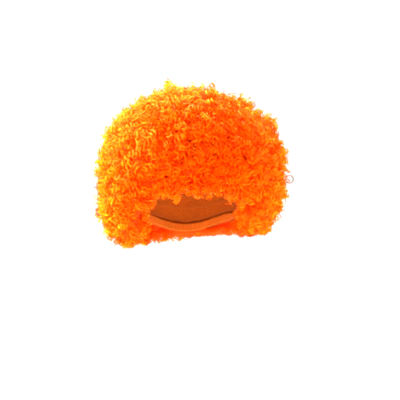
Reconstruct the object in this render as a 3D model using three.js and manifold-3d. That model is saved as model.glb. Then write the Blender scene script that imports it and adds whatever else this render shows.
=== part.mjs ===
// A curly clown wig: a stretch net cap with an elastic hem, and rings of curled hair sewn round it,
// row by row from the crown down to the hanging sides. Millimetres, +Z up, the forehead faces -Y.
// The origin is the inside of the crown, where the top of the head bears.
import * as THREE from "three";
import { mergeVertices } from "three/addons/utils/BufferGeometryUtils.js";
import Module from "manifold-3d";

const wasm = await Module();
wasm.setup();

// The head that the cap is cut for
const headBreadth = 156;
const headLength = 198;
const crownHeight = 92; // the top of the head down to its widest level

// The cap, and the elastic inside its hem
const capWall = 1.5;
const capDepth = 148; // the top of the head down to the nape
const capTuck = 6; // how far the cap draws in between the widest level and the nape
const hemWidth = 12;
const hemThickness = 1.2;
const hemRise = 1; // the elastic stops this far above the cap's edge
const hemGap = 1.5; // cap to elastic, with room for the facets of both
const sewingGap = 0.5; // cap to hair
const facetGap = 2.3; // more room for the packed hair, whose facets cut across those of the cap

// The packed hair, before its locks
const hairAboveCrown = 52;
const sideReach = 121; // from the centre line to each side
const frontReach = 122;
const backReach = 132;
const hairDrop = 150; // the top of the head down to the lowest hair
const fullness = 2.2; // exponent of the outline: 2 is an ellipse, and more is squarer

// The rows that the hair is sewn in, and their locks
const weftRows = 5; // below the patch on the crown
const rowGap = 0.25; // from a row's packed hair to the line between it and the next
const rowWave = 0.006; // how far a row strays up and down, as a share of the way to the edge
const rowWaves = 5; // how often it does so round the wig
const rowShift = 140; // how much further round each line's waves stand
const lockStartAngle = 137; // how much further round each row's first lock stands
const lockWidth = 50; // at most: a lock is no wider than its row allows
const lockHeight = 16;
const lockUneven = 0.3; // how much taller or lower a lock may be, as a share of lockHeight
const lockGap = 1.2; // from a lock to the edges of its row
const lockPitch = 1.03; // from one lock to the next, as a share of its width
const crownRingRatio = 1.3; // how far the crown's ring of locks is moved out in its patch

// A lock from its foot to its tip: how far up it has come as a share of lockHeight, and how thick it
// is and how far it leans as shares of its width and half its width.
const lockShape = [
  { rise: -0.2, girth: 0.7, lean: 0 },
  { rise: 0.25, girth: 1, lean: 0 },
  { rise: 0.72, girth: 0.84, lean: 0.1 },
  { rise: 1, girth: 0.44, lean: 0.34 },
  { rise: 0.82, girth: 0, lean: 0.92 },
];

// Round the wig from mid forehead (turn 0) over the ears (90) to the nape (180), alike on both sides
// but for the hair's lower edge. rim is a share of capDepth, and the others of hairDrop: widest is
// the level where the hair stands out most, and left and right are its lower edge, left at -X.
const around = [
  { turn: 0, rim: 0.46, widest: 0.26, left: 0.5, right: 0.5 },
  { turn: 26, rim: 0.46, widest: 0.29, left: 0.5, right: 0.52 },
  { turn: 44, rim: 0.52, widest: 0.36, left: 0.59, right: 0.59 },
  { turn: 64, rim: 0.68, widest: 0.46, left: 0.93, right: 0.86 },
  { turn: 90, rim: 0.7, widest: 0.52, left: 1.0, right: 0.92 },
  { turn: 125, rim: 0.88, widest: 0.52, left: 1.0, right: 0.95 },
  { turn: 180, rim: 1.0, widest: 0.5, left: 1.0, right: 1.0 },
];

const aroundSteps = 30;
const downSteps = 8; // of the cap, crown to rim
const lockSides = 6;

const hairMaterial = new THREE.MeshStandardMaterial({ color: 0xff6a08, roughness: 0.55, metalness: 0 });
const netMaterial = new THREE.MeshStandardMaterial({ color: 0xd9661c, roughness: 0.9, metalness: 0 });
const elasticMaterial = new THREE.MeshStandardMaterial({ color: 0xc2551a, roughness: 0.85, metalness: 0 });

const { degToRad, lerp, radToDeg, smoothstep } = THREE.MathUtils;

// A column of the table at any turn, eased from one row to the next.
function shareAt(column, turn) {
  const angle = Math.abs(turn);
  const next = Math.max(1, around.findIndex((row) => row.turn >= angle));
  const [low, high] = [around[next - 1], around[next]];
  return lerp(low[column], high[column], smoothstep(angle, low.turn, high.turn));
}

const rimDrop = (turn) => capDepth * shareAt("rim", turn);
const widestDrop = (turn) => hairDrop * shareAt("widest", turn);
const edgeDrop = (turn) => hairDrop * shareAt(turn < 0 ? "left" : "right", turn);

// How far an ellipse reaches from the upright axis at this turn.
function ellipseReach(turn, side, ahead) {
  const angle = degToRad(turn);
  return 1 / Math.hypot(Math.sin(angle) / side, Math.cos(angle) / ahead);
}

// The head's surface moved out by offset, a share of the way from the crown to a drop below it:
// a quarter ellipse down to the widest level, then nearly straight down.
function headPoint(turn, share, drop, offset) {
  const reach = ellipseReach(turn, headBreadth / 2, headLength / 2) + offset;
  const quarter = (Math.PI / 2) * crownHeight;
  const end =
    drop < crownHeight ? Math.acos(1 - drop / crownHeight) * crownHeight : quarter + drop - crownHeight;
  const travel = share * end;
  if (travel <= quarter) {
    const angle = travel / crownHeight;
    return new THREE.Vector2(
      reach * Math.sin(angle),
      (crownHeight + offset) * Math.cos(angle) - crownHeight,
    );
  }
  const below = travel - quarter;
  const tuck = capTuck * (below / (capDepth - crownHeight)) ** 2;
  return new THREE.Vector2(reach - tuck, -crownHeight - below);
}

// The hair's lower inner edge.
const edgePoint = (turn) => headPoint(turn, 1, edgeDrop(turn), capWall + sewingGap + facetGap);

// One quarter of a rounded outline: its two coordinates, each from 0 to 1.
function quarterCurve(share) {
  const angle = (share * Math.PI) / 2;
  return [Math.sin(angle) ** (2 / fullness), Math.cos(angle) ** (2 / fullness)];
}

// The packed hair's outer surface: a quarter curve from the top to the widest level, and another
// from there under to the hair's lower inner edge.
function hairPoint(turn, share) {
  const widest = widestDrop(turn);
  const reach = ellipseReach(turn, sideReach, Math.abs(turn) < 90 ? frontReach : backReach);
  const edge = edgePoint(turn);
  const lower = (-edge.y - widest + reach - edge.x) / (hairAboveCrown + widest + reach);
  const travel = share * (1 + lower);
  if (travel <= 1) {
    const [out, up] = quarterCurve(travel);
    return new THREE.Vector2(reach * out, (hairAboveCrown + widest) * up - widest);
  }
  const [under, out] = quarterCurve(Math.min(1, (travel - 1) / lower));
  return new THREE.Vector2(lerp(edge.x, reach, out), lerp(-widest, edge.y, under));
}

// From an upright plane at this turn into space.
function spin(turn, flat) {
  const angle = degToRad(turn);
  return new THREE.Vector3(Math.sin(angle) * flat.x, -Math.cos(angle) * flat.x, flat.y);
}

// The way down that surface and the way out of it.
function hairWays(turn, share) {
  const nudge = 0.01;
  const at = (aside, below) =>
    spin(turn + aside, hairPoint(turn + aside, THREE.MathUtils.clamp(share + below, 0, 1)));
  const down = at(0, nudge).sub(at(0, -nudge)).normalize();
  const round = at(2, nudge).sub(at(-2, nudge)).normalize();
  return { down, out: new THREE.Vector3().crossVectors(down, round).normalize() };
}

// A solid through rings of points. Rings that go all the way round meet, others end in flat lids.
// Each patch is folded from its point nearer the upright axis, so that neighbours fold alike.
function loft(rings, goesRound) {
  const points = rings.flat();
  const sides = rings[0].length;
  const reach = (index) => Math.hypot(points[index].x, points[index].y);
  const faces = [];
  const last = goesRound ? rings.length : rings.length - 1;
  for (let ring = 0; ring < last; ring += 1) {
    for (let side = 0; side < sides; side += 1) {
      const [here, next] = [ring * sides, ((ring + 1) % rings.length) * sides];
      const [a, b] = [here + side, here + ((side + 1) % sides)];
      const [c, d] = [next + side, next + ((side + 1) % sides)];
      faces.push(...(reach(a) < reach(b) ? [a, b, d, a, d, c] : [a, b, c, b, d, c]));
    }
  }
  if (!goesRound) {
    const lid = last * sides;
    for (let side = 1; side < sides - 1; side += 1) {
      faces.push(0, side + 1, side, lid, lid + side, lid + side + 1);
    }
  }
  return solidOf(points.flatMap((point) => point.toArray()), faces);
}

// A solid from points and faces, with points that coincide made one and empty faces left out.
// Faces that point inwards are turned round.
function solidOf(points, faces) {
  const geometry = new THREE.BufferGeometry();
  geometry.setAttribute("position", new THREE.Float32BufferAttribute(points, 3));
  geometry.setIndex(faces);
  const merged = mergeVertices(geometry, 1e-3);
  const corners = [...merged.index.array];
  const kept = [];
  for (let i = 0; i < corners.length; i += 3) {
    const [a, b, c] = corners.slice(i, i + 3);
    if (a !== b && b !== c && c !== a) kept.push(a, b, c);
  }
  const made = (order) =>
    new wasm.Manifold(
      new wasm.Mesh({
        numProp: 3,
        vertProperties: merged.attributes.position.array,
        triVerts: new Uint32Array(order),
      }),
    );
  const solid = made(kept);
  return solid.volume() < 0 ? made(kept.reverse()) : solid;
}

// A section that is drawn anew at each turn and swept all the way round the wig.
function sweepRound(sectionAt) {
  const rings = [];
  for (let step = 0; step < aroundSteps; step += 1) {
    const turn = (360 * step) / aroundSteps - 180;
    rings.push(sectionAt(turn).map((flat) => spin(turn, flat)));
  }
  return loft(rings, true);
}

function netCap() {
  return sweepRound((turn) => {
    const inner = [];
    const outer = [];
    for (let step = 0; step <= downSteps; step += 1) {
      inner.push(headPoint(turn, step / downSteps, rimDrop(turn), 0));
      outer.unshift(headPoint(turn, step / downSteps, rimDrop(turn), capWall));
    }
    return [...inner, ...outer];
  });
}

// All that the locks stay clear of: the head and the cap on it, on past the hair's lower edge, with
// the same facets as the cap.
function headForm() {
  return sweepRound((turn) => {
    const offset = capWall + sewingGap;
    const section = [];
    for (let step = 0; step <= downSteps; step += 1) {
      section.push(headPoint(turn, step / downSteps, rimDrop(turn), offset));
    }
    const lowest = Math.max(edgeDrop(turn), rimDrop(turn)) + lockHeight;
    for (let step = 1; step <= 3; step += 1) {
      section.push(headPoint(turn, 1, lerp(rimDrop(turn), lowest, step / 3), offset));
    }
    return [...section, new THREE.Vector2(0, -lowest)];
  });
}

function hemElastic() {
  return sweepRound((turn) => {
    const low = rimDrop(turn) - hemRise;
    const face = (drop, offset) => headPoint(turn, 1, drop, offset);
    return [
      face(low - hemWidth, -hemGap),
      face(low - hemWidth, -hemGap - hemThickness),
      face(low, -hemGap - hemThickness),
      face(low, -hemGap),
    ];
  });
}

// Where the line above a row runs at this turn, as a share of the way from the crown to the edge.
function rowLine(line, turn) {
  const level = line / (weftRows + 1);
  const atEnd = line === 0 || line > weftRows;
  return atEnd ? level : level + rowWave * Math.sin(degToRad(rowWaves * turn + rowShift * line));
}

// The points of a surface between a row's two lines, drawn in from them by gap.
function between(row, turn, steps, gap, pointAt) {
  const [top, bottom] = [rowLine(row, turn), rowLine(row + 1, turn)];
  const points = [];
  for (let step = 0; step <= steps; step += 1) {
    points.push(pointAt(turn, lerp(top, bottom, step / steps)));
  }
  const along = points[steps].clone().sub(points[0]).normalize().multiplyScalar(gap);
  if (row > 0) points[0].add(along);
  if (row < weftRows) points[steps].sub(along);
  return points;
}

// Where the packed hair lies on the cap.
const insidePoint = (turn, share) =>
  headPoint(turn, share, edgeDrop(turn), capWall + sewingGap + facetGap);

// A row's packed hair, from the cap out to its surface.
function rowBacking(row) {
  return sweepRound((turn) => [
    ...between(row, turn, 2, rowGap, insidePoint),
    ...between(row, turn, row < weftRows ? 2 : 4, rowGap, hairPoint).reverse(),
  ]);
}

// How far a point of the hair's surface lies from the nearer of its row's two lines.
function roomAround(row, turn, share) {
  const foot = spin(turn, hairPoint(turn, share));
  const [lookAside, lookStep] = [40, 4];
  let room = Infinity;
  for (let there = turn - lookAside; there <= turn + lookAside; there += lookStep) {
    for (const line of row === 0 ? [1] : [row, row + 1]) {
      room = Math.min(room, spin(there, hairPoint(there, rowLine(line, there))).distanceTo(foot));
    }
  }
  return room;
}

// Numbers that are spread evenly from 0 to 1 and never settle into a pattern.
const scatter = (index) => (index * 0.618034) % 1;

// One lock: a tuft that swells out of the packed hair and curls over to its tip.
function lock(turn, share, width, index) {
  const { down, out } = hairWays(turn, share);
  const aside = new THREE.Vector3().crossVectors(out, down);
  const heading = 2 * Math.PI * scatter(index);
  const ahead = down.multiplyScalar(Math.cos(heading)).addScaledVector(aside, Math.sin(heading));
  const across = new THREE.Vector3().crossVectors(out, ahead);
  const height = lockHeight * (1 + lockUneven * (2 * scatter(3 * index) - 1));
  const foot = spin(turn, hairPoint(turn, share));
  const rings = lockShape.map(({ rise, girth, lean }) => {
    const ring = [];
    for (let side = 0; side < lockSides; side += 1) {
      const angle = (2 * Math.PI * side) / lockSides;
      ring.push(
        foot
          .clone()
          .addScaledVector(out, rise * height)
          .addScaledVector(ahead, (lean + girth * Math.cos(angle)) * (width / 2))
          .addScaledVector(across, girth * Math.sin(angle) * (width / 2)),
      );
    }
    return ring;
  });
  return loft(rings, false);
}

// Small hollows that locks close in between them are filled. Such a hollow has a volume below 0.
function withoutPockets(solid) {
  return wasm.Manifold.union(solid.decompose().filter((piece) => piece.volume() > 0));
}

// A row: its packed hair and the locks that stand on it side by side, each as wide as the row allows.
function weft(row) {
  const locks = row === 0 ? [lock(0, 0, lockWidth, 0)] : [];
  const start = lockStartAngle * row;
  let turn = start;
  let index = start;
  while (turn < start + 360) {
    const here = ((turn + 180) % 360) - 180;
    const middle = (rowLine(row, here) + rowLine(row + 1, here)) / 2;
    const share = row === 0 ? crownRingRatio * middle : middle;
    const width = Math.min(lockWidth, 2 * (roomAround(row, here, share) - lockGap));
    locks.push(lock(here, share, width, index));
    turn += radToDeg((lockPitch * width) / hairPoint(here, share).x);
    index += 1;
  }
  return withoutPockets(rowBacking(row).add(wasm.Manifold.union(locks).subtract(form)));
}

function meshOf(name, solid, material) {
  const made = solid.getMesh();
  const geometry = new THREE.BufferGeometry();
  geometry.setAttribute("position", new THREE.BufferAttribute(made.vertProperties, 3));
  geometry.setIndex(new THREE.BufferAttribute(made.triVerts, 1));
  geometry.computeVertexNormals();
  const mesh = new THREE.Mesh(geometry, material);
  mesh.name = name;
  return mesh;
}

const form = headForm();
const wig = new THREE.Group();
wig.add(meshOf("net_cap", netCap(), netMaterial));
wig.add(meshOf("hem_elastic", hemElastic(), elasticMaterial));
for (let row = 0; row <= weftRows; row += 1) {
  wig.add(meshOf(row === 0 ? "crown_hair" : `weft_${row}`, weft(row), hairMaterial));
}

export default wig;
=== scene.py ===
import math

import bpy
import numpy as np
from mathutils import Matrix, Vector
from mathutils.bvhtree import BVHTree


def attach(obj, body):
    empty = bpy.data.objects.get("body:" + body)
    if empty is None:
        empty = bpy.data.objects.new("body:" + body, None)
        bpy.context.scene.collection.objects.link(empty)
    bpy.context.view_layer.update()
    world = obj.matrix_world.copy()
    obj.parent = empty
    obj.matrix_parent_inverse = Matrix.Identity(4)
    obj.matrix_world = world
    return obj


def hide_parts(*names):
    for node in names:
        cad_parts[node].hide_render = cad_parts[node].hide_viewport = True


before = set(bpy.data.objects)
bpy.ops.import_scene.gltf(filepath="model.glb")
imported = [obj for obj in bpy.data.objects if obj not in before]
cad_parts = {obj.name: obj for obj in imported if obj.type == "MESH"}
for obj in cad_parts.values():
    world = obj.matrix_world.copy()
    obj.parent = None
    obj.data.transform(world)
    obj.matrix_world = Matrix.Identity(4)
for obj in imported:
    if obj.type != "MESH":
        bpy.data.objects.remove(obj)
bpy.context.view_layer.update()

scene = bpy.context.scene
mapName = "OFBake"  # the name of the pieces' own uv map; the export keeps a map of this name
print("frame loaded:", ", ".join(sorted(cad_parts)))


class Signal:  # an output socket that can be used in sums
    def __init__(self, finish, socket):
        self.finish = finish
        self.socket = socket

    def __add__(self, other):
        return self.finish.math("ADD", self, other)

    def __radd__(self, other):
        return self.finish.math("ADD", other, self)

    def __sub__(self, other):
        return self.finish.math("SUBTRACT", self, other)

    def __rsub__(self, other):
        return self.finish.math("SUBTRACT", other, self)

    def __mul__(self, other):
        return self.finish.math("MULTIPLY", self, other)

    def __rmul__(self, other):
        return self.finish.math("MULTIPLY", other, self)


class Finish:  # one material and its nodes
    def __init__(self, name):
        self.material = bpy.data.materials.new(name)
        self.material.use_nodes = True
        self.tree = self.material.node_tree
        self.tree.nodes.clear()

    def node(self, kind, settings=None, sockets=None, output=0):
        made = self.tree.nodes.new(kind)
        for name, value in (settings or {}).items():
            if name == "stops":
                self.setStops(made.color_ramp, value)
            else:
                setattr(made, name, value)
        for name, value in (sockets or {}).items():
            if isinstance(value, Signal):
                self.tree.links.new(value.socket, made.inputs[name])
            else:
                made.inputs[name].default_value = value
        return Signal(self, made.outputs[output])

    def math(self, operation, *values):
        return self.node("ShaderNodeMath", {"operation": operation}, dict(enumerate(values)))

    def mapPlace(self):  # a piece's own map, and its two parts
        place = self.node("ShaderNodeUVMap", {"uv_map": mapName})
        parts = self.node("ShaderNodeSeparateXYZ", {}, {0: place}).socket.node
        return place, Signal(self, parts.outputs[0]), Signal(self, parts.outputs[1])

    def setStops(self, ramp, stops):
        while len(ramp.elements) < len(stops):
            ramp.elements.new(0.5)
        for element, (position, colour) in zip(ramp.elements, stops):
            element.position = position
            element.color = (*colour, 1)

    def mixColour(self, factor, first, second):
        return self.node("ShaderNodeMix", {"data_type": "RGBA"}, {0: factor, 6: first, 7: second}, 2)

    # A shader with the look's own roughness and gloss, and its bump where a height is given
    def matt(self, look, colour, height=None, more=None):
        sockets = {"Base Color": colour, "Roughness": look["roughness"], "Specular IOR Level": look["gloss"]}
        if height is not None:
            relief = {"Strength": look["bump"], "Distance": look["bumpDepth"], "Height": height}
            sockets["Normal"] = self.node("ShaderNodeBump", {}, relief)
        return self.node("ShaderNodeBsdfPrincipled", {}, {**sockets, **(more or {})})

    def surface(self, shader):
        output = self.tree.nodes.new("ShaderNodeOutputMaterial")
        self.tree.links.new(shader.socket, output.inputs["Surface"])
        return self.material


def added(name, data, material=None):  # a new object in the scene
    if material is not None:
        data.materials.append(material)
    made = bpy.data.objects.new(name, data)
    scene.collection.objects.link(made)
    return made


view = {
    "turn": -5.0,  # degrees round the wig
    "rise": 1.5,
    "distance": 2.09,
    "lookAt": (0.0, 0.0, -0.115),
    "aside": 0.0141,  # the frame's middle lies this far right of lookAt
    "above": 0.0176,
    "lens": 128,
    "sensor": 36,
}


def makeCamera():
    turn = math.radians(view["turn"])
    rise = math.radians(view["rise"])
    back = Vector((math.sin(turn) * math.cos(rise), -math.cos(turn) * math.cos(rise), math.sin(rise)))
    right = Vector((math.cos(turn), math.sin(turn), 0))
    middle = Vector(view["lookAt"]) + right * view["aside"] + back.cross(right) * view["above"]
    lens = bpy.data.cameras.new("viewCamera")
    lens.lens = view["lens"]
    lens.sensor_width = view["sensor"]
    camera = added("viewCamera", lens)
    camera.location = Vector(view["lookAt"]) + back * view["distance"]
    camera.rotation_euler = (middle - camera.location).to_track_quat("-Z", "Y").to_euler()
    scene.camera = camera


studio = {
    "skyStrength": 1.1,
    "floorLevel": -0.62,
    "floorWidth": 14.0,
    "floorDepth": (-7.0, 3.2),  # to the foot of the backdrop
    "sweepRadius": 1.2,
    "sweepSteps": 16,
    "backdropTop": 4.5,
    "floorColour": (0.83, 0.826, 0.82, 1),
    "mottleColour": (0.88, 0.876, 0.87, 1),
    "mottleShare": 0.06,
    "mottleScale": 9.0,
    "mottleDetail": 3.0,
    "floorRoughness": 0.9,
    "lampsLookAt": (0, 0, -0.05),
    "maxBounces": 16,
    "diffuseBounces": 12,  # light goes far between pale fibres
    "filterWidth": 2.0,  # as soft as a small picture of the wig
}

lamps = [
    {"name": "keyLight", "place": (-1.85, 0.55, 1.35), "size": 2.0, "power": 250, "spread": 64},
    {"name": "fillLight", "place": (0.5, -2.6, 1.5), "size": 2.0, "power": 26, "spread": 50},
    {"name": "rimLight", "place": (0.35, 1.5, 2.1), "size": 2.0, "power": 130, "spread": 64},
    {"name": "sideLight", "place": (1.9, 0.6, 0.8), "size": 1.4, "power": 10, "spread": 60},
]


def makeLamp(name, place, size, power, spread):  # spread in degrees, as a grid on the lamp keeps it
    lamp = bpy.data.lights.new(name, "AREA")
    lamp.shape = "DISK"
    lamp.size = size
    lamp.energy = power
    lamp.spread = math.radians(spread)
    light = added(name, lamp)
    light.location = place
    ahead = Vector(studio["lampsLookAt"]) - Vector(place)
    light.rotation_euler = ahead.to_track_quat("-Z", "Y").to_euler()


# One sheet: the floor, a rounded sweep and the backdrop
def makeStudio():
    world = bpy.data.worlds.new("studioSky")
    world.use_nodes = True
    sky = world.node_tree.nodes["Background"]
    sky.inputs["Color"].default_value = (1, 1, 1, 1)
    sky.inputs["Strength"].default_value = studio["skyStrength"]
    scene.world = world
    for lamp in lamps:
        makeLamp(**lamp)
    half = studio["floorWidth"] / 2
    level = studio["floorLevel"]
    near, far = studio["floorDepth"]
    radius = studio["sweepRadius"]
    profile = [(near, level)]
    for step in range(studio["sweepSteps"] + 1):
        angle = math.pi / 2 * step / studio["sweepSteps"]
        profile.append((far + radius * math.sin(angle), level + radius * (1 - math.cos(angle))))
    profile.append((far + radius, studio["backdropTop"]))
    corners = [(x, y, z) for y, z in profile for x in (-half, half)]
    faces = [(2 * i, 2 * i + 1, 2 * i + 3, 2 * i + 2) for i in range(len(profile) - 1)]
    mesh = bpy.data.meshes.new("studioFloor")
    mesh.from_pydata(corners, [], faces)
    mesh.shade_smooth()
    paint = Finish("palePaint")
    mottle = paint.node("ShaderNodeTexNoise", {},
                        {"Scale": studio["mottleScale"], "Detail": studio["mottleDetail"]})
    colour = paint.mixColour(mottle * studio["mottleShare"], studio["floorColour"], studio["mottleColour"])
    shader = paint.node("ShaderNodeBsdfPrincipled", {},
                        {"Base Color": colour, "Roughness": studio["floorRoughness"]})
    floor = added("studioFloor", mesh, paint.surface(shader))


makeCamera()
makeStudio()
scene.view_settings.view_transform = "Standard"
scene.cycles.max_bounces = studio["maxBounces"]
scene.cycles.diffuse_bounces = studio["diffuseBounces"]
scene.cycles.filter_width = studio["filterWidth"]
print("camera, lights and floor made")


strandForm = {
    "corners": [(1.0, 0.0), (-0.55, 1.0), (-0.55, -1.0)],  # in half thickness and half width
    "toneShare": 0.88,  # how much of the map's height the tones take, and the corners the rest
    "cornerSteps": [0.0, 0.05, 0.1],
    "sideLeast": 0.45,  # how far each face keeps its own light at least
}


def unit(vectors):
    return vectors / np.maximum(np.linalg.norm(vectors, axis=-1, keepdims=True), 1e-9)


# Triangles, with one uv a point. Normals, where given, change their light but keep to each face's own side
def meshPiece(name, points, faces, uvs, material, normals=None):
    mesh = bpy.data.meshes.new(name)
    mesh.vertices.add(len(points))
    mesh.vertices.foreach_set("co", np.asarray(points, np.float32).ravel())
    mesh.loops.add(3 * len(faces))
    mesh.loops.foreach_set("vertex_index", np.asarray(faces, np.int32).ravel())
    mesh.polygons.add(len(faces))
    mesh.polygons.foreach_set("loop_start", np.arange(0, 3 * len(faces), 3, dtype=np.int32))
    if uvs is not None:
        layer = mesh.uv_layers.new(name=mapName)
        layer.data.foreach_set("uv", np.asarray(uvs, np.float32)[np.asarray(faces).ravel()].ravel())
    mesh.update(calc_edges=True)
    mesh.shade_smooth()
    if normals is not None:
        a, b, c = np.moveaxis(points[faces], 1, 0)
        side = unit(np.cross(b - a, c - a))[:, None]
        lit = normals[faces]
        turnedBack = np.maximum(strandForm["sideLeast"] - (lit * side).sum(-1, keepdims=True), 0)
        mesh.normals_split_custom_set(unit(lit + side * turnedBack).reshape(-1, 3).tolist())
    return added(name, mesh, material)


def joined(parts):  # each part is (points, faces, and any rows of values a point)
    count = 0
    faces = []
    for part in parts:
        faces.append(part[1] + count)
        count += len(part[0])
    rows = [np.concatenate(column) for column in zip(*[(part[0],) + tuple(part[2:]) for part in parts])]
    return (rows[0], np.concatenate(faces), *rows[1:])


def onlyUsed(points, faces, *rows):  # leaves out the points that no face uses
    used, faces = np.unique(faces, return_inverse=True)
    return (points[used], faces.reshape(-1, 3), *(row[used] for row in rows))


# Closed strands from paths (strand, ring, xyz), with half thickness along side and half width across it.
# The last thing returned is which way each point's own side of the strand faces
def tubes(paths, sideways, thickness, width, shade, tone):
    count, rings, _ = paths.shape
    along = unit(np.gradient(paths, axis=1))
    side = unit(sideways - (sideways * along).sum(-1, keepdims=True) * along)
    across = np.cross(along, side)
    thick, wide = side * thickness[..., None], across * width[..., None]
    points = np.stack([paths + thick * a + wide * b for a, b in strandForm["corners"]], axis=2)
    ring = np.arange(rings - 1)[:, None, None] * 3
    corner = np.arange(3)[None, :, None]
    after = (corner + 1) % 3
    upper = ring + 3
    halves = [ring + corner, ring + after, upper + after, ring + corner, upper + after, upper + corner]
    quads = np.concatenate(halves, axis=2)
    last = 3 * (rings - 1)
    oneStrand = np.concatenate([quads.reshape(-1, 3), [[2, 1, 0]], [[last, last + 1, last + 2]]])
    faces = (oneStrand[None] + (np.arange(count) * rings * 3)[:, None, None]).reshape(-1, 3)
    u = np.repeat(shade[:, :, None], 3, axis=2)
    v = tone[:, None, None] * strandForm["toneShare"] + np.array(strandForm["cornerSteps"])
    v = v + np.zeros((count, rings, 1))
    uvs = np.stack([u, v], axis=-1).reshape(-1, 2)
    facing = unit(points - paths[:, :, None, :]).reshape(-1, 3)
    return points.reshape(-1, 3), faces, uvs, facing


hairLook = {
    "stops": [  # from deep in the hair to its tips: painted shade, darker and redder deep in the hair and lighter towards the tips
        (0.0, (0.86, 0.036, 0.0)),
        (0.35, (0.88, 0.056, 0.0)),
        (0.7, (0.90, 0.080, 0.0003)),
        (1.0, (0.91, 0.108, 0.0006)),
    ],
    "toneShift": 0.22,  # how far a strand's own tone moves it along the stops
    "streakColour": (0.90, 0.08, 0.0, 1),
    "streakShare": 0.3,
    "streakStretch": (6.0, 90.0, 1.0),
    "bump": 0.25,
    "bumpDepth": 0.0004,
    "roughness": 0.6,
    "gloss": 0.02,
    "glossTint": (1.0, 0.6, 0.008, 1),
    "sheen": 0.5,
    "sheenRoughness": 0.4,
    "throughLight": 0.5,
}

looseLook = {
    "stops": [(0.35, (0.86, 0.048, 0.0)), (0.75, (0.62, 0.090, 0.0006)), (0.95, (0.15, 0.066, 0.010))],
    "roughness": 0.6,
    "gloss": 0.03,
}

packedLook = {
    "stops": [(0.0, (0.86, 0.036, 0.0)), (1.0, (0.88, 0.064, 0.0))],  # from groove to ridge: painted shade, the dark colour of hair deep under the ringlets, darker still in the grooves
    "curlScale": 260.0,
    "curlDetail": 3.0,
    "curlTwist": 2.5,
    "ridges": 40.0,
    "bump": 0.7,
    "bumpDepth": 0.0015,
    "roughness": 0.8,
    "gloss": 0.05,
}


# The surface's colour along the stops, and the light that comes through in the same colours. These are
# plain ones, blended by the factors of Mix Shaders
def alongStops(hair, place, stops):
    colour = hair.node("ShaderNodeValToRGB", {"stops": stops}, {0: place})
    through = [hair.node("ShaderNodeBsdfTranslucent", {}, {"Color": (*plain, 1)}) for _, plain in stops]
    glow = through[0]
    for (low, _), (high, _), after in zip(stops, stops[1:], through[1:]):
        part = hair.node("ShaderNodeMapRange", {}, {"Value": place, "From Min": low, "From Max": high})
        glow = hair.node("ShaderNodeMixShader", {}, {0: part, 1: glow, 2: after})
    return colour, glow


def fibreSurface(hair, shader, glow):
    sockets = {0: hairLook["throughLight"], 1: shader, 2: glow}
    return hair.surface(hair.node("ShaderNodeMixShader", {}, sockets))


def hairFinish():
    hair = Finish("curledFibre")
    place, depth, tone = hair.mapPlace()
    body, glow = alongStops(hair, depth + (tone - 0.5) * hairLook["toneShift"], hairLook["stops"])
    stretched = hair.node("ShaderNodeVectorMath", {"operation": "MULTIPLY"},
                          {0: place, 1: hairLook["streakStretch"]})
    fibre = hair.node("ShaderNodeTexNoise", {"noise_dimensions": "2D"},
                      {"Vector": stretched, "Scale": 1.0, "Detail": 2.0})
    streak = fibre * hairLook["streakShare"]
    streaked = hair.mixColour(streak, body, hairLook["streakColour"])
    shader = hair.matt(hairLook, streaked, fibre, {
        "Specular Tint": hairLook["glossTint"],
        "Sheen Weight": hairLook["sheen"],
        "Sheen Roughness": hairLook["sheenRoughness"],
        "Sheen Tint": hairLook["glossTint"],
    })
    pale = hair.node("ShaderNodeBsdfTranslucent", {}, {"Color": hairLook["streakColour"]})
    return fibreSurface(hair, shader, hair.node("ShaderNodeMixShader", {}, {0: streak, 1: glow, 2: pale}))


# Single strands, darker towards their tips, where they have no neighbours to light them
def looseFinish():
    hair = Finish("looseFibre")
    _, depth, _ = hair.mapPlace()
    colour, glow = alongStops(hair, depth, looseLook["stops"])
    return fibreSurface(hair, hair.matt(looseLook, colour), glow)


# The imported hair under the ringlets, with its curls as colour and relief, in the darker colours of hair deep
# in shade as painted shade
def packedFinish():
    hair = Finish("packedFibre")
    place = hair.node("ShaderNodeTexCoord", {}, {}, 3)  # object coordinates
    curly = hair.node("ShaderNodeTexNoise", {},
                      {"Vector": place, "Scale": packedLook["curlScale"], "Detail": packedLook["curlDetail"],
                       "Distortion": packedLook["curlTwist"]})
    ridge = hair.math("SINE", curly * packedLook["ridges"]) * 0.5 + 0.5
    colour, glow = alongStops(hair, ridge, packedLook["stops"])
    return fibreSurface(hair, hair.matt(packedLook, colour, ridge), glow)


hairNodes = ["crown_hair", "weft_1", "weft_2", "weft_3", "weft_4", "weft_5"]


def trianglesOf(mesh):
    mesh.calc_loop_triangles()
    points = np.zeros(len(mesh.vertices) * 3)
    mesh.vertices.foreach_get("co", points)
    faces = np.zeros(len(mesh.loop_triangles) * 3, int)
    mesh.loop_triangles.foreach_get("vertices", faces)
    return points.reshape(-1, 3), faces.reshape(-1, 3)


def treeOf(nodes):  # and which node each face is of
    parts, owners = [], []
    for number, node in enumerate(nodes):
        points, faces = trianglesOf(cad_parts[node].data)
        parts.append((points, faces))
        owners += [number] * len(faces)
    points, faces = joined(parts)
    return BVHTree.FromPolygons(points.tolist(), faces.tolist()), owners


# The cap's form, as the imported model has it. Its rim: degrees from the front, and share of the depth
capForm = {
    "halfBreadth": 0.078,
    "halfLength": 0.099,
    "crownHeight": 0.092,
    "depth": 0.148,
    "tuck": 0.006,
    "wall": 0.0015,
    "rim": [(0, 0.46), (26, 0.46), (44, 0.52), (64, 0.68), (90, 0.7), (125, 0.88), (180, 1.0)],
}

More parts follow.
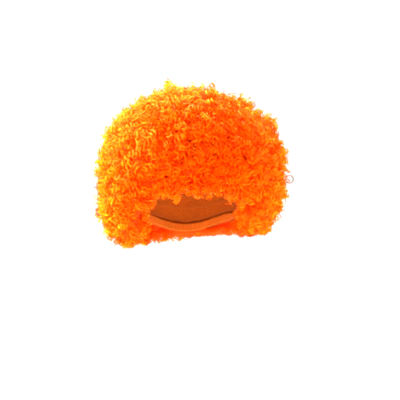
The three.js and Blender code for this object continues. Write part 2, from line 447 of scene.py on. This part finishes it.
rooting = {
    "spacing": 0.0053,
    "outerTries": 42000,
    "outerFacing": -0.2,  # how far a face may look back towards the core and still be an outer one
    "innerTries": 4,  # times twice the area, in squares of the spacing
    "innerFacing": -0.05,
    "clearAhead": 0.008,  # an inner face with something nearer in front of it gets no curls
    "rayStart": 0.0004,
    "rayLength": 0.4,
    "core": (0.0, 0.0, -0.055),  # the hair stands out from here
    "envelopeReach": 0.24,  # radians round a place that it is compared with
    "favourTips": 260,
    "everyTry": 10,  # one in so many of the outer tries is compared
    "grid": (61, 121),
    "belowEnvelope": 0.0074,  # the hair's mean level below the tips of the locks
    "mostFill": 0.020,
    "follow": 0.95,  # how far the hair follows that level and its tufts
    "tuftSpacing": 0.029,
    "tuftRise": 0.0035,  # tufts stand this far above it, and the creases between them as far below
    "creaseWidth": 0.016,
    "ownLift": 0.25,  # the share that a tuft's lightness has of its own
    # painted shade: hair rooted on the inner faces, under the cap, is given little lightness
    "innerLift": 0.2,
    "seed": 5,
}


# Places tried on the outside of the hair, where rays from all round meet it on their way to the core
def outerTries(rng):
    tree, owners = treeOf(hairNodes + ["net_cap"])
    core = Vector(rooting["core"])
    ways = unit(rng.normal(0, 1, (rooting["outerTries"], 3)))
    spots, normals, nodes = [], [], []
    for way in ways.tolist():
        way = Vector(way)
        place, normal, face, _ = tree.ray_cast(core + way * rooting["rayLength"], -way, rooting["rayLength"])
        isHair = place is not None and owners[face] < len(hairNodes)
        if isHair and normal.dot(way) > rooting["outerFacing"]:
            spots.append(place[:])
            normals.append(normal[:])
            nodes.append(owners[face])
    return np.array(spots), np.array(normals), np.array(nodes)


# Places tried on the faces that look inwards, below the cap
def innerTries(rng):
    tree, _ = treeOf(hairNodes + ["net_cap", "hem_elastic"])
    found = []
    for number, node in enumerate(hairNodes):
        points, faces = trianglesOf(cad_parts[node].data)
        a, b, c = (points[faces[:, i]] for i in range(3))
        cross = np.cross(b - a, c - a)
        normal = unit(cross)
        middle = (a + b + c) / 3
        outward = unit(middle - np.array(rooting["core"]))
        isInner = (normal * outward).sum(1) < rooting["innerFacing"]
        for i in np.flatnonzero(isInner):
            start = Vector(middle[i] + normal[i] * rooting["rayStart"])
            isInner[i] = tree.ray_cast(start, Vector(normal[i]), rooting["clearAhead"])[0] is None
        chance = np.linalg.norm(cross, axis=1) * isInner
        if chance.sum() < 1e-6:
            continue
        tries = int(rooting["innerTries"] * chance.sum() / rooting["spacing"]**2)
        pick = rng.choice(len(faces), tries, p=chance / chance.sum())
        s, t = np.sqrt(rng.random(tries)), rng.random(tries)
        s, t = s[:, None], t[:, None]
        spots = a[pick] * (1 - s) + b[pick] * (s * (1 - t)) + c[pick] * (s * t)
        found.append((spots, normal[pick], np.full(tries, number)))
    return tuple(np.concatenate(column) for column in zip(*found))


# A slow, smooth wandering over space, for tufts that lean together and whose colour varies together
def drift(spots, scale, phase):
    x, y, z = (spots / scale).T
    slow = np.sin(x + 1.7 * np.sin(0.8 * y + phase)) * np.cos(1.1 * z + phase)
    return slow + np.sin(1.3 * y + 2.1 * phase + z) / 2


def fromCore(spots):
    return np.linalg.norm(spots - np.array(rooting["core"]), axis=1)


# How far from the core the tips of the locks stand, on a grid of directions
def envelopeGrid(sample):
    rows, columns = rooting["grid"]
    rise = np.linspace(-np.pi / 2, np.pi / 2, rows)[:, None]
    turn = np.linspace(-np.pi, np.pi, columns)[None, :]
    level = np.cos(rise)
    ways = np.stack([level * np.cos(turn), level * np.sin(turn), np.sin(rise) + 0 * turn], axis=-1)
    away = fromCore(sample)
    toSample = unit(sample - np.array(rooting["core"]))
    near = ways.reshape(-1, 3) @ toSample.T > math.cos(rooting["envelopeReach"])
    weight = near * np.exp((away - away.max()) * rooting["favourTips"])
    return ((weight * away).sum(1) / np.maximum(weight.sum(1), 1e-12)).reshape(rows, columns)


def envelopeAt(spots, grid):
    rows, columns = grid.shape
    x, y, z = unit(spots - np.array(rooting["core"])).T
    row = (np.arcsin(np.clip(z, -1, 1)) / np.pi + 0.5) * (rows - 1)
    column = (np.arctan2(y, x) / np.pi + 1) / 2 * (columns - 1)
    r, c = np.minimum(row.astype(int), rows - 2), np.minimum(column.astype(int), columns - 2)
    s, t = row - r, column - c
    low = grid[r, c] * (1 - t) + grid[r, c + 1] * t
    high = grid[r + 1, c] * (1 - t) + grid[r + 1, c + 1] * t
    return low * (1 - s) + high * s


outlineStretch = np.array([1.0, 0.4, 1.0])  # the tufts on the outline are longer front to back

# Tufts that the photo shows on the outline: where, how wide and how far they stand out, or fall back
outlineTufts = [
    {"at": (-0.034, 0.0, 0.066), "size": 0.010, "rise": 0.014},
    {"at": (-0.055, 0.0, 0.058), "size": 0.010, "rise": -0.013},
    {"at": (0.003, 0.0, 0.067), "size": 0.012, "rise": -0.019},
    {"at": (0.024, 0.0, 0.062), "size": 0.010, "rise": 0.001},
    {"at": (0.048, 0.0, 0.060), "size": 0.013, "rise": -0.019},
    {"at": (0.074, 0.0, 0.050), "size": 0.012, "rise": 0.004},
    {"at": (-0.090, 0.0, 0.034), "size": 0.010, "rise": 0.004},
    {"at": (-0.135, 0.0, -0.090), "size": 0.018, "rise": -0.009},
    {"at": (-0.130, 0.0, -0.116), "size": 0.012, "rise": 0.008},
    {"at": (-0.120, 0.0, -0.136), "size": 0.014, "rise": 0.008},
    {"at": (-0.072, 0.0, -0.160), "size": 0.014, "rise": 0.006},
    {"at": (0.100, 0.0, 0.035), "size": 0.014, "rise": -0.003},
    {"at": (0.116, 0.0, 0.012), "size": 0.013, "rise": 0.012},
    {"at": (0.133, 0.0, -0.030), "size": 0.014, "rise": 0.006},
    {"at": (0.134, 0.0, -0.072), "size": 0.012, "rise": 0.005},
    {"at": (0.134, 0.0, -0.096), "size": 0.014, "rise": 0.004},
    {"at": (0.118, 0.0, -0.124), "size": 0.016, "rise": 0.004},
]


def onEnvelope(spots, height):
    core = np.array(rooting["core"])
    return core + unit(spots - core) * height[:, None]


# The nearest tuft to each place, how far off it is, and how far the next one
def nearestTuft(places, centres):
    index, first, second = [], [], []
    batch = 4000  # so that the distances fit in memory
    for low in range(0, len(places), batch):
        gap = np.linalg.norm(places[low:low + batch, None] - centres[None], axis=2)
        index.append(gap.argmin(1))
        two = np.partition(gap, 1, axis=1)
        first.append(two[:, 0])
        second.append(two[:, 1])
    return np.concatenate(index), np.concatenate(first), np.concatenate(second)


# Places moved to the hair's mean level, and out on the tufts
def leveled(spots, height, centres, share=1.0):
    away = fromCore(spots)
    places = onEnvelope(spots, height)
    _, first, second = nearestTuft(places, centres)
    crest = np.clip((second - first) / rooting["creaseWidth"], 0, 1)
    crest = crest * crest * (3 - 2 * crest)
    level = height - rooting["belowEnvelope"] + rooting["tuftRise"] * (2 * crest - 1)
    rise = np.clip(level - away, -rooting["mostFill"], rooting["mostFill"]) * rooting["follow"]
    for tuft in outlineTufts:
        gap = np.linalg.norm((spots - np.array(tuft["at"])) * outlineStretch, axis=1) / tuft["size"]
        rise = rise + tuft["rise"] * np.exp(-gap**2 / 2)
    return spots + (spots - np.array(rooting["core"])) * (rise * share / away)[:, None]


# The numbers of tries that keep their distance from those kept before
def thinned(spots, spacing):
    kept, taken = [], {}
    keys = np.floor(spots / spacing).astype(int)
    for i in range(len(spots)):
        x, y, z = keys[i]
        near = [q for dx in (-1, 0, 1) for dy in (-1, 0, 1) for dz in (-1, 0, 1)
                for q in taken.get((x + dx, y + dy, z + dz), ())]
        p = spots[i]
        if all((p[0] - q[0])**2 + (p[1] - q[1])**2 + (p[2] - q[2])**2 > spacing**2 for q in near):
            taken.setdefault((x, y, z), []).append(tuple(p))
            kept.append(i)
    return kept


ringletShape = {
    "segments": 25,
    "rootDepth": (0.0050, 0.0065),  # below the hair's level
    "length": (0.013, 0.022),  # of a ringlet's own axis
    "bend": (0.5, 1.9),  # radians that the axis turns over, from outward to along the hair
    "bendEarly": 2.5,
    "coilRadius": (0.0028, 0.0048),
    "pitch": (0.0044, 0.0066),  # of one turn
    "sag": 0.4,
    "outward": 0.7,  # how far outer curls stand away from the core, and not straight out of their face
    "together": 0.6,  # how much neighbours lie the same way
    "togetherScale": 0.009,
    "splay": 0.8,  # how much they lie away from the middle of their tuft
    "bow": (-0.25, 0.25),  # sideways, as a share of the length
    "uneven": 0.9,  # radians that the turns run ahead or behind
    "atRoot": 0.45,  # the coil's radius at its root, as a share of the whole
    "open": 0.3,  # share of the length after which it is the whole
    "close": 0.45,  # how far the coil closes towards its tip
    "wander": 0.3,
    "softened": 0.82,  # how far a strand is lit as its whole tuft is
    "tuftRound": 0.6,
    "halfThickness": 0.00050,
    "halfWidth": 0.00105,
    "size": (0.5, 1.3),  # a strand's own share of both
    "taper": 0.1,  # share of the length that narrows at either end
    "ends": (0.5, 0.4),  # how wide the root and the tip are left
    # Painted shade in the colour: darker low in the hair and in the creases between tufts, lighter higher up
    "shadeFrom": 0.006,  # heights count from this far below the hair's level
    "fullShade": 0.016,
    "shade": (0.3, 0.4),  # the colour there, and what fullShade of height adds
    "ownShade": 0.06,
    "tuftShade": 0.3,
    "driftShade": 0.1,
    "driftScale": 0.02,
    "leastShade": 0.01,
    "mostShade": 0.99,
}

flyawayShape = {
    **ringletShape,
    "spacing": 0.0135,
    "segments": 16,
    "rootDepth": (0.001, 0.003),
    "length": (0.010, 0.017),
    "bend": (0.8, 2.2),
    "coilRadius": (0.0040, 0.0060),
    "pitch": (0.0070, 0.0110),
    "together": 0.3,
    "close": 0.2,
    "mostShade": 0.75,
    "halfThickness": 0.00036,
    "halfWidth": 0.00062,
}


# The hair's lower edge, which hangs lower on the left
hem = {"left": -0.162, "right": -0.142, "give": 0.4, "across": 0.05}


def trimmed(paths):
    share = np.clip(paths[..., 0] / hem["across"] * 0.5 + 0.5, 0, 1)
    low = hem["left"] + (hem["right"] - hem["left"]) * share
    up = paths[..., 2]
    paths[..., 2] = np.where(up < low, low + (up - low) * hem["give"], up)
    return paths


# How far strands keep outside the form that the cap is made round, behind its wall and below its rim
capRoom = {"behindCap": 0.0030, "belowRim": -0.0070, "step": 0.004, "least": 0.3}


def outsideCap(paths):
    x, y, z = np.moveaxis(paths, -1, 0)
    turns, shares = zip(*capForm["rim"])
    rim = -capForm["depth"] * np.interp(np.degrees(np.abs(np.arctan2(x, -y))), turns, shares)
    behind = np.clip((z - rim) / capRoom["step"] + 1, 0, 1)[..., None]
    room = capRoom["belowRim"] + (capRoom["behindCap"] - capRoom["belowRim"]) * behind
    centre = np.array([0.0, 0.0, -capForm["crownHeight"]])
    reach = np.array([capForm["halfBreadth"], capForm["halfLength"], capForm["crownHeight"]]) + room
    share = (paths - centre) / reach
    share[..., 2] = np.maximum(share[..., 2], 0)
    away = np.linalg.norm(share, axis=-1, keepdims=True)
    return paths + share * reach * (1 / np.clip(away, capRoom["least"], 1) - 1)


# Ringlets that bend over from their roots: closed strands as tubes() gives them, with softened normals
def curls(spots, normals, fromTuft, lift, shape, rng):
    count, rings = len(spots), shape["segments"] + 1

    def spread(name):
        low, high = shape[name]
        return rng.uniform(low, high, (count, 1))

    def flatly(vectors, away):
        return unit(vectors - (vectors * away).sum(-1, keepdims=True) * away)

    outward = unit(spots - np.array(rooting["core"]))
    isInner = (normals * outward).sum(-1) < rooting["innerFacing"]
    facing = np.where(isInner, 0.0, shape["outward"])[:, None]
    out = unit(normals * (1 - facing) + outward * facing)
    together = np.stack([drift(spots, shape["togetherScale"], phase) for phase in (1.0, 2.3, 4.1)], axis=1)
    away = fromTuft * shape["splay"] + np.array([0, 0, -shape["sag"]])
    side = flatly(unit(rng.normal(0, 1, spots.shape)) + together * shape["together"] + away, out)
    across = np.cross(out, side)
    length = spread("length")
    s = np.linspace(0, 1, rings)[None, :]

    # The axis bends over, mostly near its root
    early = shape["bendEarly"]
    turned = spread("bend") * (1 - np.exp(-s * early)) / (1 - math.exp(-early))
    heading = out[:, None] * np.cos(turned)[..., None] + side[:, None] * np.sin(turned)[..., None]
    axis = np.cumsum(heading, axis=1) * (length / shape["segments"])[..., None]
    axis = axis + (spots - out * spread("rootDepth"))[:, None]
    bend = np.cross(across[:, None], heading)

    # The strand coils round it
    turns = length / spread("pitch") * rng.choice([-1, 1], (count, 1))
    phase = rng.uniform(0, 2 * np.pi, (count, 1))
    angle = phase + 2 * np.pi * turns * s + shape["uneven"] * np.sin(5 * s + 2 * phase)
    atRoot = shape["atRoot"]
    swell = spread("coilRadius") * (atRoot + (1 - atRoot) * np.clip(s / shape["open"], 0, 1))
    swell = swell * (1 - shape["close"] * np.clip((s - 0.5) / 0.5, 0, 1)**2)
    swell = swell * (1 + shape["wander"] * np.sin(7 * s + 3 * phase))
    spoke = bend * np.cos(angle)[..., None] + across[:, None] * np.sin(angle)[..., None]
    aside = spread("bow") * length * s**2
    paths = outsideCap(trimmed(axis + across[:, None] * aside[..., None]) + spoke * swell[..., None])

    rootEnd, tipEnd = shape["ends"]
    taper = np.clip(s / shape["taper"], rootEnd, 1) * np.clip((1 - s) / shape["taper"], tipEnd, 1)
    size = spread("size") * taper
    # Painted shade: strands are darker deep in the hair and lighter higher up, and darker in the creases
    # between tufts; a strand's own tone and a slow wandering tone vary this at random
    height = ((paths - spots[:, None]) * out[:, None]).sum(-1) + shape["shadeFrom"]
    glow = shape["ownShade"] * rng.normal(0, 1, count) + shape["tuftShade"] * (lift - 0.5)
    glow = glow + shape["driftShade"] * drift(spots, shape["driftScale"], 0.7)
    dark, more = shape["shade"]
    shade = dark + more * height / shape["fullShade"] + glow[:, None]
    shade = np.clip(shade, shape["leastShade"], shape["mostShade"])
    thick, wide = shape["halfThickness"] * size, shape["halfWidth"] * size
    points, faces, uvs, own = tubes(paths, spoke, thick, wide, shade, rng.random(count))
    tuft = np.repeat(unit(out + fromTuft * shape["tuftRound"]), rings * 3, axis=0)
    lit = unit(own * (1 - shape["softened"]) + tuft * shape["softened"])
    return points, faces, uvs, lit


massShape = {
    "voxel": 0.006,
    "smooth": 0.5,
    "smoothTimes": 6,
    "inset": 0.0045,
    "lumps": 0.0015,
    "lumpTurns": (520, 470, 500),
    "keptWithin": 0.004,  # of the cap, where the form stays as it is
    "easesOver": 0.014,
    "overlap": 0.004,  # from row to row
}


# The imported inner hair: the node's own form, rounded and drawn in from its outside
def innerMass(node, capTree, grid, centres):
    mass = added("mass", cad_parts[node].data.copy())
    remesh = mass.modifiers.new("remesh", "REMESH")
    remesh.mode = "VOXEL"
    remesh.voxel_size = massShape["voxel"]
    smooth = mass.modifiers.new("smooth", "SMOOTH")
    smooth.factor = massShape["smooth"]
    smooth.iterations = massShape["smoothTimes"]
    made = mass.evaluated_get(bpy.context.evaluated_depsgraph_get()).to_mesh()
    points, faces = trianglesOf(made)
    normals = np.zeros(points.size)
    made.vertices.foreach_get("normal", normals)
    normals = normals.reshape(-1, 3)
    bpy.data.objects.remove(mass)
    fromCap = np.array([capTree.find_nearest(Vector(p))[3] or 0.1 for p in points])
    share = np.clip((fromCap - massShape["keptWithin"]) / massShape["easesOver"], 0, 1)[:, None]
    wave = np.sin(points * massShape["lumpTurns"] + [0, 1, 2]).sum(1, keepdims=True)
    inward = unit(np.array(rooting["core"]) - points)
    sideways = normals - (normals * inward).sum(1, keepdims=True) * inward
    points = leveled(points, envelopeAt(points, grid), centres, share[:, 0])
    points = points + inward * share * (massShape["inset"] + massShape["lumps"] * wave / 3)
    return points + sideways * massShape["overlap"], faces


strayShape = {
    "ringsPerTurn": 22,
    "stemRings": 8,
    "halfThickness": 0.0008,
    "halfWidth": 0.0017,
    "rootShade": 0.4,
    "tone": 0.5,
}

# Single curls that the photo shows: from the root a stem, then turns round a centre
strayCurls = [
    {"node": "weft_4", "root": (0.124, 0.0, -0.0740), "centre": (0.1473, 0.0, -0.0670),
     "axis": (0.1, -1.0, 0.05), "radius": 0.0056, "start": -115, "turns": 1.15, "pitch": 0.0012, "shade": 0.95},
    {"node": "weft_5", "root": (-0.122, 0.0, -0.1080), "centre": (-0.1340, 0.0, -0.1155),
     "axis": (-0.3, -1.0, 0.1), "radius": 0.0046, "start": 70, "turns": 1.3, "pitch": 0.0016, "shade": 0.92},
    {"node": "weft_4", "root": (-0.124, 0.0, -0.0900), "centre": (-0.1290, 0.0, -0.1040),
     "axis": (0.2, -1.0, -0.2), "radius": 0.0036, "start": 80, "turns": 1.2, "pitch": 0.0014, "shade": 0.90},
    {"node": "weft_3", "root": (0.001, -0.116, -0.0760), "centre": (-0.0005, -0.1190, -0.0880),
     "axis": (0.1, -1.0, 0.15), "radius": 0.0052, "start": 75, "turns": 1.4, "pitch": 0.0015, "shade": 0.60},
    {"node": "weft_3", "root": (0.043, -0.108, -0.0740), "centre": (0.0430, -0.1110, -0.0870),
     "axis": (0.5, -1.0, 0.2), "radius": 0.0040, "start": 80, "turns": 1.6, "pitch": 0.0022, "shade": 0.50},
]


# The single curls of one node, each a set of closed strands
def strays(node):
    grown = []
    for row in strayCurls:
        if row["node"] != node:
            continue
        axis = unit(-np.array(row["axis"]))
        right = unit(np.cross(axis, (0.0, 0.0, 1.0)))
        up = np.cross(right, axis)
        rings = int(strayShape["ringsPerTurn"] * row["turns"])
        turns = np.linspace(0, row["turns"], rings)[:, None]
        angle = math.radians(row["start"]) + turns * 2 * np.pi
        spoke = right * np.cos(angle) + up * np.sin(angle)
        circle = np.array(row["centre"]) + spoke * row["radius"] - axis * (turns - 0.5) * row["pitch"]
        start, heading = circle[0], unit(circle[1] - circle[0])
        root = np.array(row["root"])
        reach = np.linalg.norm(start - root) / 3
        s = np.linspace(0, 1, strayShape["stemRings"], endpoint=False)[:, None]
        stemOut = unit(root - np.array(rooting["core"]))
        stem = (root * (1 - s)**3 + (root + stemOut * reach) * 3 * s * (1 - s)**2
                + (start - heading * reach) * 3 * s**2 * (1 - s) + start * s**3)
        path = np.concatenate([stem, circle])
        sideways = np.concatenate([np.repeat(spoke[:1], len(stem), axis=0), spoke])
        thick = np.full((1, len(path)), strayShape["halfThickness"])
        wide = np.full((1, len(path)), strayShape["halfWidth"])
        dark, pale = strayShape["rootShade"], row["shade"]
        shade = np.concatenate([dark + (pale - dark) * s[:, 0], np.full(rings, pale)])
        tone = np.array([strayShape["tone"]])
        grown.append(tubes(path[None], sideways[None], thick, wide, shade[None], tone))
    return grown


def makeHair():
    material = hairFinish()
    looseMaterial = looseFinish()
    packedMaterial = packedFinish()
    rng = np.random.default_rng(rooting["seed"])
    capTree, _ = treeOf(["net_cap"])
    outer = outerTries(rng)
    inner = innerTries(rng)

    # The outer places are moved to the hair's level, with their tufts
    grid = envelopeGrid(outer[0][::rooting["everyTry"]])
    height = envelopeAt(outer[0], grid)
    places = onEnvelope(outer[0], height)
    centres = places[thinned(places, rooting["tuftSpacing"])]
    index, first, second = nearestTuft(places, centres)
    fromTuft = (places - centres[index]) / rooting["tuftSpacing"] * 2
    # Painted shade: a tuft's lightness is low in the creases between tufts and high on its crest, with a share
    # of its own at random; inner hair gets a low one
    lift = np.clip((second - first) / rooting["creaseWidth"], 0, 1)
    own = rooting["ownLift"]
    lift = (1 - own) * lift + own * rng.random(len(centres))[index]
    spots = np.concatenate([leveled(outer[0], height, centres), inner[0]])
    normals, nodes = (np.concatenate([outer[i], inner[i]]) for i in (1, 2))
    lift = np.concatenate([lift, np.full(len(inner[0]), rooting["innerLift"])])
    fromTuft = np.concatenate([fromTuft, np.zeros(inner[0].shape)])

    kept = thinned(spots, rooting["spacing"])
    keptLoose = [i for i in thinned(spots, flyawayShape["spacing"]) if i < len(outer[0])]
    print(len(kept), "ringlets and", len(keptLoose), "flyaway strands")
    total = 0
    for number, node in enumerate(hairNodes):
        name = node.replace("_hair", "")

        def grownFrom(tries, shape):
            mine = [i for i in tries if nodes[i] == number]
            return curls(spots[mine], normals[mine], fromTuft[mine], lift[mine], shape, rng), spots[mine]

        packed = innerMass(node, capTree, grid, centres)
        pieces = [meshPiece(name + "_packed", *packed, None, packedMaterial)]
        (points, faces, uvs, lit), roots = grownFrom(kept, ringletShape)
        isRight = np.repeat(roots[:, 0] > 0, len(faces) // len(roots))
        for word, chosen in (("left", ~isRight), ("right", isRight)):
            part = onlyUsed(points, faces[chosen], uvs, lit)
            pieces.append(meshPiece(name + "_curls_" + word, *part[:3], material, part[3]))
        loose, _ = grownFrom(keptLoose, flyawayShape)
        pieces.append(meshPiece(name + "_flyaways", *joined([loose] + strays(node))[:3], looseMaterial))
        for piece in pieces:
            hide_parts(node)
            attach(piece, "root")
            total += len(piece.data.polygons)
            print(piece.name, len(piece.data.polygons), "triangles")
    print("hair", total, "triangles")


makeHair()


def rimDrop(turn):  # degrees from the middle of the front
    angle = abs(turn)
    rows = capForm["rim"]
    for (low, lowShare), (high, highShare) in zip(rows, rows[1:]):
        if angle <= high:
            part = (angle - low) / (high - low)
            part = part * part * (3 - 2 * part)
            return capForm["depth"] * (lowShare + (highShare - lowShare) * part)
    return capForm["depth"]


# A point on the cap's form, a share of the way from the crown to the rim, and an offset outside it
def capPoint(turn, share, drop, offset):
    angle = math.radians(turn)
    crown = capForm["crownHeight"]
    aside, ahead = math.sin(angle) / capForm["halfBreadth"], math.cos(angle) / capForm["halfLength"]
    reach = 1 / math.hypot(aside, ahead) + offset
    quarter = math.pi / 2 * crown
    end = math.acos(1 - drop / crown) * crown if drop < crown else quarter + drop - crown
    travel = share * end
    if travel <= quarter:
        out, up = reach * math.sin(travel / crown), (crown + offset) * math.cos(travel / crown) - crown
    else:
        below = travel - quarter
        out = reach - capForm["tuck"] * (below / (capForm["depth"] - crown))**2
        up = -crown - below
    return math.sin(angle) * out, -math.cos(angle) * out, up


# A closed section swept round the wig: sectionAt gives a list of (point, how far along the section)
def sweptRound(steps, sectionAt):
    sections = [sectionAt(360 * i / steps - 180) for i in range(steps + 1)]
    size = len(sections[0])
    points = np.array([point for section in sections[:-1] for point, _ in section])
    faces, uvs = [], []
    for i in range(steps):
        for j in range(size):
            a, b = i * size + j, i * size + (j + 1) % size
            c, d = (i + 1) % steps * size + j, (i + 1) % steps * size + (j + 1) % size
            faces += [(a, b, d), (a, d, c)]
            left, right = i / steps, (i + 1) / steps
            low, high = sections[i][j][1], sections[i][(j + 1) % size][1] or 1.0
            uvs += [(left, low), (left, high), (right, high), (left, low), (right, high), (right, low)]
    return points, np.array(faces), np.array(uvs)


def sweptPiece(name, swept, material, shadeSmooth=True):
    points, faces, uvs = swept
    mesh = bpy.data.meshes.new(name)
    mesh.from_pydata(points.tolist(), [], faces.tolist())
    mesh.uv_layers.new(name=mapName).data.foreach_set("uv", uvs.astype(np.float32).ravel())
    mesh.polygons.foreach_set("use_smooth", [shadeSmooth] * len(faces))
    mesh.update()
    piece = added(name, mesh, material)
    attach(piece, "root")
    return piece


# The net's colours are darker than its own, as painted shade for the inside of the wig
netLook = {
    "thread": (0.30, 0.055, 0.002, 1),
    "gap": (0.11, 0.012, 0.0005, 1),
    "worn": (0.32, 0.06, 0.003, 1),
    "wornShare": 0.4,
    "wornScale": 40.0,
    "around": 150,  # meshes of the net round the cap
    "down": 62,
    "threadShare": 0.34,
    "threadFull": 0.08,
    "bump": 0.8,
    "bumpDepth": 0.0006,
    "roughness": 0.8,
    "gloss": 0.03,
}


def netFinish():
    net = Finish("stretchNet")
    _, across, down = net.mapPlace()
    slants = []
    for sign in (1, -1):
        wave = net.math("SINE", (across * netLook["around"] + down * (sign * netLook["down"])) * math.pi)
        slants.append(net.math("ABSOLUTE", wave))
    thread = net.node("ShaderNodeMapRange", {"interpolation_type": "SMOOTHSTEP"},
                      {"Value": net.math("MINIMUM", *slants), "From Min": netLook["threadShare"],
                       "From Max": netLook["threadFull"]})
    tone = net.node("ShaderNodeTexNoise", {}, {"Scale": netLook["wornScale"], "Detail": 2.0})
    colour = net.mixColour(thread, netLook["gap"], netLook["thread"])
    colour = net.mixColour(tone * netLook["wornShare"], colour, netLook["worn"])
    return net.surface(net.matt(netLook, colour, thread))


capMesh = {
    "down": 30,
    "round": 144,
    "crownHole": 0.02,  # of one step, so that no two points fall together on the crown
    "mapInside": 0.48,  # the share of the map that each side of the wall takes
}


def makeCap():
    down, hole, inside = capMesh["down"], capMesh["crownHole"], capMesh["mapInside"]

    def section(turn):
        drop = rimDrop(turn)
        shares = [((k + hole) / (down + hole), inside * k / down) for k in range(down + 1)]
        inner = [(capPoint(turn, share, drop, 0), v) for share, v in shares]
        outer = [(capPoint(turn, share, drop, capForm["wall"]), 1 - v) for share, v in reversed(shares)]
        return inner + outer

    piece = sweptPiece("net_cap_net", sweptRound(capMesh["round"], section), netFinish())
    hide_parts("net_cap")


# The band's colours are darker than its own, as painted shade for the inside of the wig
bandLook = {
    "colour": (0.22, 0.032, 0.001, 1),
    "pale": (0.32, 0.062, 0.003, 1),
    "weave": 4200.0,
    "weaveShare": 0.5,
    "toneShare": 0.3,
    "toneScale": 60.0,
    "bump": 0.5,
    "bumpDepth": 0.0002,
    "roughness": 0.75,
    "gloss": 0.04,
}

bandShape = {
    "width": 0.012,
    "thickness": 0.0012,
    "gap": 0.0015,
    "rise": 0.001,
    "inset": 0.0002,
    "edgeRound": 0.00025,
    "ribs": 4,
    "ribHeight": 0.0002,
    "gathers": 96,
    "gatherHeight": 0.00022,
    "across": 9,  # points from edge to edge
    "round": 480,
}


def bandFinish():
    band = Finish("ribbedElastic")
    _, across, _ = band.mapPlace()
    weave = band.math("SINE", across * bandLook["weave"]) * 0.5 + 0.5
    tone = band.node("ShaderNodeTexNoise", {}, {"Scale": bandLook["toneScale"], "Detail": 3.0})
    share = weave * bandLook["weaveShare"] + tone * bandLook["toneShare"]
    colour = band.mixColour(share, bandLook["colour"], bandLook["pale"])
    return band.surface(band.matt(bandLook, colour, weave))


def makeBand():
    steps = bandShape["across"] - 1

    def section(turn):
        low = rimDrop(turn) - bandShape["rise"]
        gather = bandShape["gatherHeight"] * math.sin(math.radians(turn) * bandShape["gathers"])

        def side(offset, sign):
            found = []
            for k in range(steps + 1):
                share = k / steps
                rib = bandShape["ribHeight"] * math.cos(2 * math.pi * share * bandShape["ribs"])
                edge = min(share, 1 - share) * steps
                rounded = bandShape["edgeRound"] * max(0, 1 - edge)
                drop = low - bandShape["width"] * (1 - share)
                found.append(capPoint(turn, 1, drop, offset + gather + sign * (rib - rounded)))
            return found

        outer = side(-bandShape["gap"] - bandShape["inset"], 1)
        inner = side(-bandShape["gap"] - bandShape["thickness"] + bandShape["inset"], -1)
        ring = outer + inner[::-1]
        return [(point, k / len(ring)) for k, point in enumerate(ring)]

    piece = sweptPiece("hem_band", sweptRound(bandShape["round"], section), bandFinish())
    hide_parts("hem_elastic")


# The thread's colours are darker than its own, as painted shade for the inside of the wig
threadLook = {
    "colour": (0.20, 0.034, 0.001, 1),
    "dark": (0.14, 0.020, 0.001, 1),
    "darkShare": 0.4,
    "twist": 60.0,
    "roughness": 0.7,
    "gloss": 0.05,
}

stitching = {
    "rows": 10,  # lines of stitches that hold the wefts, seen inside the cap
    "stitches": 120,  # zigzags in the lowest line
    "leastStitches": 16,
    "fillsBy": 1.2,  # a line has all its stitches from 1 / 1.2 of the way down
    "amplitude": 0.0011,
    "threadRadius": 0.00032,
    "tone": 0.4,
    "tapeHeight": 0.0036,
    "tapeThickness": 0.0004,
    "tapeRound": 96,
    "sunk": 0.0001,  # the tapes into the cap, and the thread out of the tapes
    "capArc": 0.2,  # about the way from the crown to the rim
}


def threadFinish():
    thread = Finish("sewingThread")
    place = thread.node("ShaderNodeUVMap", {"uv_map": mapName})
    twist = thread.node("ShaderNodeTexWave", {}, {"Vector": place, "Scale": threadLook["twist"]})
    colour = thread.mixColour(twist * threadLook["darkShare"], threadLook["colour"], threadLook["dark"])
    return thread.surface(thread.matt(threadLook, colour))


def makeStitches():
    tapes = []
    threads = []
    deep, sunk = -stitching["tapeThickness"], stitching["sunk"]
    halfTape = stitching["tapeHeight"] / 2 / stitching["capArc"]
    for row in range(1, stitching["rows"] + 1):
        share = row / (stitching["rows"] + 1)

        def section(turn):
            drop = rimDrop(turn)
            corners = [(-halfTape, sunk), (-halfTape, deep), (halfTape, deep), (halfTape, sunk)]
            return [(capPoint(turn, share + up, drop, out), k / 4) for k, (up, out) in enumerate(corners)]

        tapes.append(sweptRound(stitching["tapeRound"], section))
        around = math.sin(min(1, share * stitching["fillsBy"]) * math.pi / 2)
        count = 2 * max(stitching["leastStitches"], int(stitching["stitches"] * around))
        path = []
        for k in range(count + 1):
            turn = 360 * k / count - 180
            aside = stitching["amplitude"] / stitching["capArc"] * (1 if k % 2 else -1)
            path.append(capPoint(turn, share + aside, rimDrop(turn), deep - sunk))
        path = np.array(path)[None]
        sideways = path * [1, 1, 0] + [0, 0, 1e-3]
        radius = np.full(path.shape[:2], stitching["threadRadius"])
        along = np.linspace(0, 1, count + 1)[None]
        tone = np.array([stitching["tone"]])
        threads.append(tubes(path, sideways, radius, radius, along, tone)[:3])
    material = threadFinish()
    piece = sweptPiece("weft_tapes", joined(tapes), material, False)
    piece = meshPiece("weft_stitches", *joined(threads), material)
    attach(piece, "root")


makeCap()
makeBand()
makeStitches()
print("cap, hem band and stitches made")
